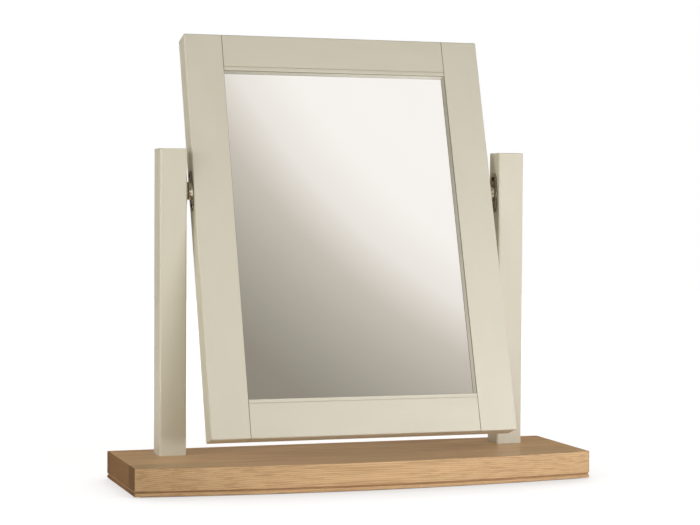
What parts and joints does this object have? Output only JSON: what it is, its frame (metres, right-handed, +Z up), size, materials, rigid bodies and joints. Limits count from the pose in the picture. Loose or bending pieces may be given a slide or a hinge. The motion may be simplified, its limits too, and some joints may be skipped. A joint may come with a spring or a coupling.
{
  "type": "vanity mirror",
  "caption": "Free-standing dressing-table mirror: a painted, framed glass swings between square posts on a bow-fronted oak base.",
  "frame": {"origin": "on the table plane under the felt, midway across the base and midway between its back edge and the crown of its bowed front", "axes": "+Z up, -Y is the front that the glass faces, +X to the viewer's right; the mirror is stored tilted back 17 degrees"},
  "size_m": [0.62, 0.2237, 0.592],
  "materials": {
    "oak": "clear satin lacquer over oak",
    "felt": "black felt sheet",
    "painted_wood": "satin stone-grey paint on solid wood",
    "mirror": "silvered glass",
    "softwood": "bare planed softwood",
    "board_paint": "fibreboard, painted to match the frame",
    "antique_brass": "antiqued brass",
    "dark_screw": "bronzed screws",
    "steel": "zinc-plated steel",
    "fibre": "black fibre"
  },
  "bodies": {
    "stand": {"base_core": "oak", "base_front_lipping": "oak", "base_back_lipping": "oak", "base_felt": "felt", "post_left": "painted_wood", "post_right": "painted_wood", "post_dowels_left": "softwood", "post_dowels_right": "softwood", "swivel_post_plate_left": "antique_brass", "swivel_post_plate_right": "antique_brass", "swivel_pin_left": "antique_brass", "swivel_pin_right": "antique_brass", "swivel_post_screws_left": "dark_screw", "swivel_post_screws_right": "dark_screw", "post_screw_left": "steel", "post_screw_right": "steel", "swivel_spring_washer_left": "steel", "swivel_spring_washer_right": "steel", "swivel_friction_washer_left": "fibre", "swivel_friction_washer_right": "fibre"},
    "mirror": {"stile_left": "painted_wood", "stile_right": "painted_wood", "rail_top": "painted_wood", "rail_bottom": "painted_wood", "mirror_glass": "mirror", "retaining_strip_left": "softwood", "retaining_strip_right": "softwood", "retaining_strip_top": "softwood", "retaining_strip_bottom": "softwood", "back_board": "board_paint", "swivel_frame_plate_left": "antique_brass", "swivel_frame_plate_right": "antique_brass", "swivel_frame_screws_left": "dark_screw", "swivel_frame_screws_right": "dark_screw", "back_board_screws": "dark_screw"}
  },
  "joints": [
    {"name": "mirror_tilt", "type": "hinge", "parent": "stand", "child": "mirror", "pos_m": [0, 0.047, 0.3825], "axis": [-1, 0, 0], "continuous": true}
  ]
}
